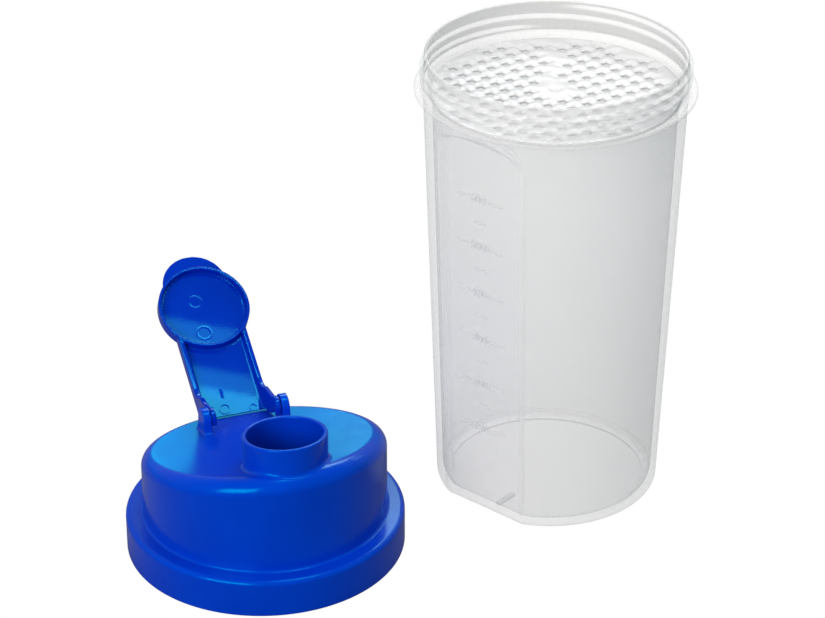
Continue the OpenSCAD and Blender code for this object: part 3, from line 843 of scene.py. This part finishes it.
BLUE = plastic(
    "blue_plastic", (0.0, 0.038, 0.55), (0.0, 0.046, 0.61), 0.2, 0.02, 0.05,
    IOR=1.5, Specular_Tint=(0.0, 0.9, 1.0, 1.0), Specular_IOR_Level=0.4,
)
BLUE_POLISHED = plastic(
    "blue_polished_plastic", (0.0, 0.020, 0.42), (0.0, 0.024, 0.47), 0.02, 0.008, 0.015,
    IOR=1.5, Specular_Tint=(0.02, 0.85, 1.0, 1.0), Specular_IOR_Level=0.42,
)
CLEAR = frosted("frosted_plastic", 0.24, 0.36)
MARK = plastic(
    "raised_mark_plastic", (0.95, 0.95, 0.95), (0.99, 0.99, 0.99), 0.2, 0.03, 0.05,
    IOR=1.45, Alpha=0.35,
)
MESH_WHITE = plastic(
    "strainer_plastic", (0.81, 0.815, 0.815), (0.85, 0.85, 0.85), 0.24, 0.04, 0.06,
    IOR=1.45, Alpha=0.9,
)


# ---------------------------------------------------------------- pieces
weighted(add_piece("cup_shell", cup_shell(), "cup_body", CLEAR, ["cup"]))
add_piece("cup_scale", cup_scale(), "cup_body", MARK)
add_piece("cup_floor_bar", cup_floor_bar(), "cup_body", MARK)
weighted(
    add_piece("strainer_disc", strainer_disc(), "strainer_body", MESH_WHITE, ["strainer"])
)
weighted(add_piece("lid_shell", lid_shell(), "lid_body", BLUE, ["lid"], LID_PLACE))
for side, label in ((-1, "left"), (1, "right")):
    add_piece("lid_ear_" + label, lid_ear(side), "lid_body", BLUE, place=LID_PLACE)
add_piece("flip_cap_body", flip_cap_body(), "cap_body", BLUE_POLISHED, ["flip_cap"], CAP_PLACE)


# ---------------------------------------------------------------- stage
HORIZON, UPPER_SKY = (0.06, 0.38, 0.50, 1), (0.42, 0.40, 0.395, 1)
FLOOR_GREY = (0.22, 0.22, 0.22, 1)
CAMERA_AT, CAMERA_DOWN, CAMERA_LENS = (-0.0492, -0.9434, 0.5914), 0.5068, 131.72  # m, radians below level, mm


def studio():
    """A floor and backdrop that look plain white to the camera, a soft sky, area lights and the camera."""
    scene = bpy.context.scene
    scene.view_settings.view_transform = "Standard"
    world = bpy.data.worlds.new("studio")
    scene.world = world
    world.use_nodes = True
    world.node_tree.nodes.clear()
    nodes = Nodes(world.node_tree)
    path = nodes.add("ShaderNodeLightPath")
    coords = nodes.add("ShaderNodeTexCoord").outputs["Generated"]
    height = nodes.add("ShaderNodeSeparateXYZ", {0: coords}).outputs["Z"]
    level = nodes.spread(height, 0.0, 1.0, 0.08, 0.3)
    around = nodes.add("ShaderNodeMix", {"Factor": level}, data_type="RGBA")
    around.inputs["A"].default_value = HORIZON
    around.inputs["B"].default_value = UPPER_SKY
    seen = nodes.add("ShaderNodeMix", {"Factor": path.outputs["Is Camera Ray"]}, data_type="RGBA")
    world.node_tree.links.new(around.outputs["Result"], seen.inputs["A"])
    seen.inputs["B"].default_value = (1, 1, 1, 1)
    sky = nodes.add("ShaderNodeBackground", {"Color": seen.outputs["Result"], "Strength": 1.0})
    out = nodes.add("ShaderNodeOutputWorld")
    world.node_tree.links.new(sky.outputs[0], out.inputs["Surface"])

    floor_mat = bpy.data.materials.new("floor")
    floor_mat.use_nodes = True
    floor_mat.node_tree.nodes.clear()
    nodes = Nodes(floor_mat.node_tree)
    path = nodes.add("ShaderNodeLightPath")
    facing = nodes.add("ShaderNodeNewGeometry").outputs["Backfacing"]
    matt = nodes.add("ShaderNodeBsdfDiffuse", {"Color": FLOOR_GREY})
    white = nodes.add("ShaderNodeEmission", {"Color": (1, 1, 1, 1), "Strength": 1.0})
    to_camera = path.outputs["Is Camera Ray"]
    seen = nodes.add("ShaderNodeMixShader", {0: to_camera, 1: matt.outputs[0], 2: white.outputs[0]})
    clear = nodes.add("ShaderNodeBsdfTransparent")
    one_sided = nodes.add("ShaderNodeMixShader", {0: facing, 1: seen.outputs[0], 2: clear.outputs[0]})
    out = nodes.add("ShaderNodeOutputMaterial")
    floor_mat.node_tree.links.new(one_sided.outputs[0], out.inputs["Surface"])
    span, floor_z = 6.0, -0.0004
    floor_mesh = bpy.data.meshes.new("floor")
    corners = [(-span, -span), (span, -span), (span, span), (-span, span)]
    floor_mesh.from_pydata([(x, y, floor_z) for x, y in corners], [], [(0, 1, 2, 3)])
    floor = bpy.data.objects.new("floor", floor_mesh)
    floor_mesh.materials.append(floor_mat)
    scene.collection.objects.link(floor)

    def softbox(name, where, aim, size, radiance, colour=(1, 1, 1)):
        lamp = bpy.data.lights.new(name, "AREA")
        lamp.shape = "RECTANGLE"
        lamp.size, lamp.size_y = size
        lamp.energy = radiance * math.pi * size[0] * size[1]
        lamp.color = colour
        obj = bpy.data.objects.new(name, lamp)
        obj.location = where
        obj.rotation_mode = "QUATERNION"
        obj.rotation_quaternion = (Vector(aim) - Vector(where)).to_track_quat("-Z", "Y")
        obj.visible_camera = False
        scene.collection.objects.link(obj)

    softbox("key", (0.15, -0.124, 1.15), (0.15, -0.124, 0.0), (0.34, 0.25), 9.5)
    softbox("key_border", (0.15, 0.008, 1.15), (0.15, 0.008, 0.0), (0.34, 0.014), 3.0)
    softbox("front", (-0.75, -1.25, 0.75), (-0.03, 0.0, 0.07), (0.9, 0.7), 8.0, (1.0, 0.97, 0.95))
    softbox("back_top", (0.30, 0.95, 1.0), (-0.03, 0.0, 0.08), (1.1, 0.5), 5.6, (0.92, 0.97, 1.0))
    # Small cyan cards that the lid's slanted top mirrors
    softbox("card_right", (-0.205, 2.0, 0.17), (-0.07, -0.044, 0.042), (0.07, 0.04), 6.0, (0.25, 0.9, 1.0))
    softbox("card_left", (-0.52, 2.0, 0.155), (-0.12, -0.03, 0.04), (0.22, 0.14), 1.9, (0.02, 0.85, 1.0))
    softbox("card_wide", (-0.40, 2.1, 0.155), (-0.12, -0.03, 0.04), (0.62, 0.30), 1.3, (0.0, 0.85, 1.0))

    camera = bpy.data.cameras.new("camera")
    camera.sensor_width = 36.0
    camera.lens = CAMERA_LENS
    camera.clip_start = 0.05
    camera_obj = bpy.data.objects.new("camera", camera)
    camera_obj.location = CAMERA_AT
    camera_obj.rotation_euler = (math.radians(90) - CAMERA_DOWN, 0, 0)
    scene.collection.objects.link(camera_obj)
    scene.camera = camera_obj


studio()
